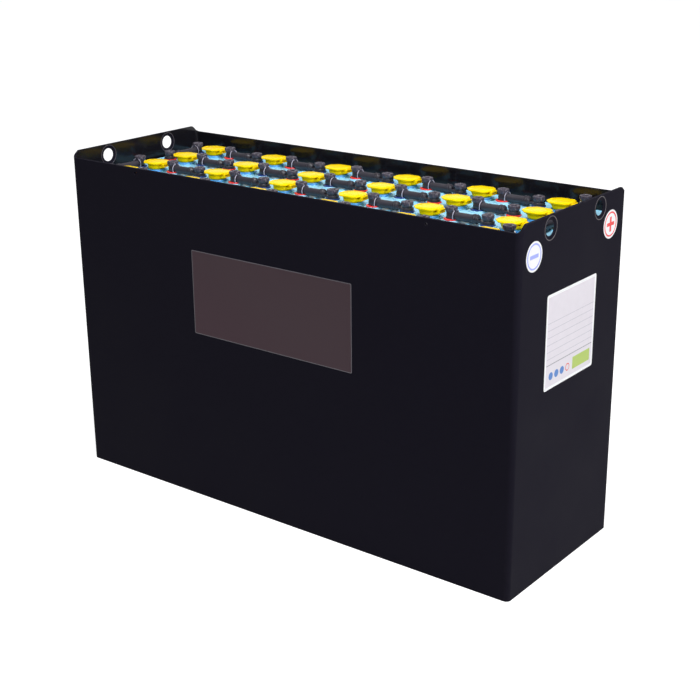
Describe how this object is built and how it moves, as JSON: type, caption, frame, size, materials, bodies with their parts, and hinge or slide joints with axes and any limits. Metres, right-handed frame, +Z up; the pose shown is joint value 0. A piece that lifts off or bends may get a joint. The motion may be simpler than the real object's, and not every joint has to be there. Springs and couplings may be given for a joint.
{
  "type": "forklift traction battery",
  "caption": "Open steel tray filled with lead-acid cells joined in series by insulated connectors, with hinged vent lids and lifting holes for a forklift truck.",
  "frame": {"origin": "centre of the tray's underside", "axes": "+Z up, +X along the long walls towards the take-off end, -Y towards the wall with the bare name plate"},
  "size_m": [1.223, 0.425, 0.784],
  "materials": {
    "tray_paint": "satin black powder coat",
    "cell_plastic": "light blue moulded polypropylene",
    "vent_yellow": "bright yellow moulded plastic",
    "connector_rubber": "black cable insulation and moulded shrouds",
    "bolt_plastic": "black insulated bolt heads",
    "ring_red": "red plastic pole ring",
    "ring_blue": "blue plastic pole ring",
    "bare_metal": "bare lead pole with plated washer",
    "packing_plastic": "black plastic packing sheet"
  },
  "bodies": {
    "battery": {"end_wall_left": "tray_paint", "end_wall_right": "tray_paint", "long_wall_front": "tray_paint", "long_wall_back": "tray_paint", "tray_floor": "tray_paint", "packing_sheets": "packing_plastic", "vent_plugs": "vent_yellow", "cell_connectors": "connector_rubber", "pole_bolts": "bolt_plastic", "positive_pole_rings": "ring_red", "negative_pole_rings": "ring_blue", "takeoff_terminals": "bare_metal", "cell_r1_c1": "cell_plastic", "cell_r1_c2": "cell_plastic", "cell_r1_c3": "cell_plastic", "cell_r1_c4": "cell_plastic", "cell_r1_c5": "cell_plastic", "cell_r1_c6": "cell_plastic", "cell_r2_c1": "cell_plastic", "cell_r2_c2": "cell_plastic", "cell_r2_c3": "cell_plastic", "cell_r2_c4": "cell_plastic", "cell_r2_c5": "cell_plastic", "cell_r2_c6": "cell_plastic", "cell_r3_c1": "cell_plastic", "cell_r3_c2": "cell_plastic", "cell_r3_c3": "cell_plastic", "cell_r3_c4": "cell_plastic", "cell_r3_c5": "cell_plastic", "cell_r3_c6": "cell_plastic", "cell_r4_c1": "cell_plastic", "cell_r4_c2": "cell_plastic", "cell_r4_c3": "cell_plastic", "cell_r4_c4": "cell_plastic", "cell_r4_c5": "cell_plastic", "cell_r4_c6": "cell_plastic"},
    "lid_r1_c1": {"vent_lid_r1_c1": "vent_yellow"},
    "lid_r1_c2": {"vent_lid_r1_c2": "vent_yellow"},
    "lid_r1_c3": {"vent_lid_r1_c3": "vent_yellow"},
    "lid_r1_c4": {"vent_lid_r1_c4": "vent_yellow"},
    "lid_r1_c5": {"vent_lid_r1_c5": "vent_yellow"},
    "lid_r1_c6": {"vent_lid_r1_c6": "vent_yellow"},
    "lid_r2_c1": {"vent_lid_r2_c1": "vent_yellow"},
    "lid_r2_c2": {"vent_lid_r2_c2": "vent_yellow"},
    "lid_r2_c3": {"vent_lid_r2_c3": "vent_yellow"},
    "lid_r2_c4": {"vent_lid_r2_c4": "vent_yellow"},
    "lid_r2_c5": {"vent_lid_r2_c5": "vent_yellow"},
    "lid_r2_c6": {"vent_lid_r2_c6": "vent_yellow"},
    "lid_r3_c1": {"vent_lid_r3_c1": "vent_yellow"},
    "lid_r3_c2": {"vent_lid_r3_c2": "vent_yellow"},
    "lid_r3_c3": {"vent_lid_r3_c3": "vent_yellow"},
    "lid_r3_c4": {"vent_lid_r3_c4": "vent_yellow"},
    "lid_r3_c5": {"vent_lid_r3_c5": "vent_yellow"},
    "lid_r3_c6": {"vent_lid_r3_c6": "vent_yellow"},
    "lid_r4_c1": {"vent_lid_r4_c1": "vent_yellow"},
    "lid_r4_c2": {"vent_lid_r4_c2": "vent_yellow"},
    "lid_r4_c3": {"vent_lid_r4_c3": "vent_yellow"},
    "lid_r4_c4": {"vent_lid_r4_c4": "vent_yellow"},
    "lid_r4_c5": {"vent_lid_r4_c5": "vent_yellow"},
    "lid_r4_c6": {"vent_lid_r4_c6": "vent_yellow"}
  },
  "joints": [
    {"name": "lid_hinge_r1_c1", "type": "hinge", "parent": "battery", "child": "lid_r1_c1", "pos_m": [-0.465, -0.1515, 0.7431], "axis": [0, 1, 0], "range_deg": [0, 100]},
    {"name": "lid_hinge_r1_c2", "type": "hinge", "parent": "battery", "child": "lid_r1_c2", "pos_m": [-0.267, -0.1515, 0.7431], "axis": [0, 1, 0], "range_deg": [0, 100]},
    {"name": "lid_hinge_r1_c3", "type": "hinge", "parent": "battery", "child": "lid_r1_c3", "pos_m": [-0.069, -0.1515, 0.7431], "axis": [0, 1, 0], "range_deg": [0, 100]},
    {"name": "lid_hinge_r1_c4", "type": "hinge", "parent": "battery", "child": "lid_r1_c4", "pos_m": [0.129, -0.1515, 0.7431], "axis": [0, 1, 0], "range_deg": [0, 100]},
    {"name": "lid_hinge_r1_c5", "type": "hinge", "parent": "battery", "child": "lid_r1_c5", "pos_m": [0.327, -0.1515, 0.7431], "axis": [0, 1, 0], "range_deg": [0, 100]},
    {"name": "lid_hinge_r1_c6", "type": "hinge", "parent": "battery", "child": "lid_r1_c6", "pos_m": [0.525, -0.1515, 0.7431], "axis": [0, 1, 0], "range_deg": [0, 100]},
    {"name": "lid_hinge_r2_c1", "type": "hinge", "parent": "battery", "child": "lid_r2_c1", "pos_m": [-0.465, -0.0505, 0.7431], "axis": [0, 1, 0], "range_deg": [0, 100]},
    {"name": "lid_hinge_r2_c2", "type": "hinge", "parent": "battery", "child": "lid_r2_c2", "pos_m": [-0.267, -0.0505, 0.7431], "axis": [0, 1, 0], "range_deg": [0, 100]},
    {"name": "lid_hinge_r2_c3", "type": "hinge", "parent": "battery", "child": "lid_r2_c3", "pos_m": [-0.069, -0.0505, 0.7431], "axis": [0, 1, 0], "range_deg": [0, 100]},
    {"name": "lid_hinge_r2_c4", "type": "hinge", "parent": "battery", "child": "lid_r2_c4", "pos_m": [0.129, -0.0505, 0.7431], "axis": [0, 1, 0], "range_deg": [0, 100]},
    {"name": "lid_hinge_r2_c5", "type": "hinge", "parent": "battery", "child": "lid_r2_c5", "pos_m": [0.327, -0.0505, 0.7431], "axis": [0, 1, 0], "range_deg": [0, 100]},
    {"name": "lid_hinge_r2_c6", "type": "hinge", "parent": "battery", "child": "lid_r2_c6", "pos_m": [0.525, -0.0505, 0.7431], "axis": [0, 1, 0], "range_deg": [0, 100]},
    {"name": "lid_hinge_r3_c1", "type": "hinge", "parent": "battery", "child": "lid_r3_c1", "pos_m": [-0.465, 0.0505, 0.7431], "axis": [0, 1, 0], "range_deg": [0, 100]},
    {"name": "lid_hinge_r3_c2", "type": "hinge", "parent": "battery", "child": "lid_r3_c2", "pos_m": [-0.267, 0.0505, 0.7431], "axis": [0, 1, 0], "range_deg": [0, 100]},
    {"name": "lid_hinge_r3_c3", "type": "hinge", "parent": "battery", "child": "lid_r3_c3", "pos_m": [-0.069, 0.0505, 0.7431], "axis": [0, 1, 0], "range_deg": [0, 100]},
    {"name": "lid_hinge_r3_c4", "type": "hinge", "parent": "battery", "child": "lid_r3_c4", "pos_m": [0.129, 0.0505, 0.7431], "axis": [0, 1, 0], "range_deg": [0, 100]},
    {"name": "lid_hinge_r3_c5", "type": "hinge", "parent": "battery", "child": "lid_r3_c5", "pos_m": [0.327, 0.0505, 0.7431], "axis": [0, 1, 0], "range_deg": [0, 100]},
    {"name": "lid_hinge_r3_c6", "type": "hinge", "parent": "battery", "child": "lid_r3_c6", "pos_m": [0.525, 0.0505, 0.7431], "axis": [0, 1, 0], "range_deg": [0, 100]},
    {"name": "lid_hinge_r4_c1", "type": "hinge", "parent": "battery", "child": "lid_r4_c1", "pos_m": [-0.465, 0.1515, 0.7431], "axis": [0, 1, 0], "range_deg": [0, 100]},
    {"name": "lid_hinge_r4_c2", "type": "hinge", "parent": "battery", "child": "lid_r4_c2", "pos_m": [-0.267, 0.1515, 0.7431], "axis": [0, 1, 0], "range_deg": [0, 100]},
    {"name": "lid_hinge_r4_c3", "type": "hinge", "parent": "battery", "child": "lid_r4_c3", "pos_m": [-0.069, 0.1515, 0.7431], "axis": [0, 1, 0], "range_deg": [0, 100]},
    {"name": "lid_hinge_r4_c4", "type": "hinge", "parent": "battery", "child": "lid_r4_c4", "pos_m": [0.129, 0.1515, 0.7431], "axis": [0, 1, 0], "range_deg": [0, 100]},
    {"name": "lid_hinge_r4_c5", "type": "hinge", "parent": "battery", "child": "lid_r4_c5", "pos_m": [0.327, 0.1515, 0.7431], "axis": [0, 1, 0], "range_deg": [0, 100]},
    {"name": "lid_hinge_r4_c6", "type": "hinge", "parent": "battery", "child": "lid_r4_c6", "pos_m": [0.525, 0.1515, 0.7431], "axis": [0, 1, 0], "range_deg": [0, 100]}
  ]
}
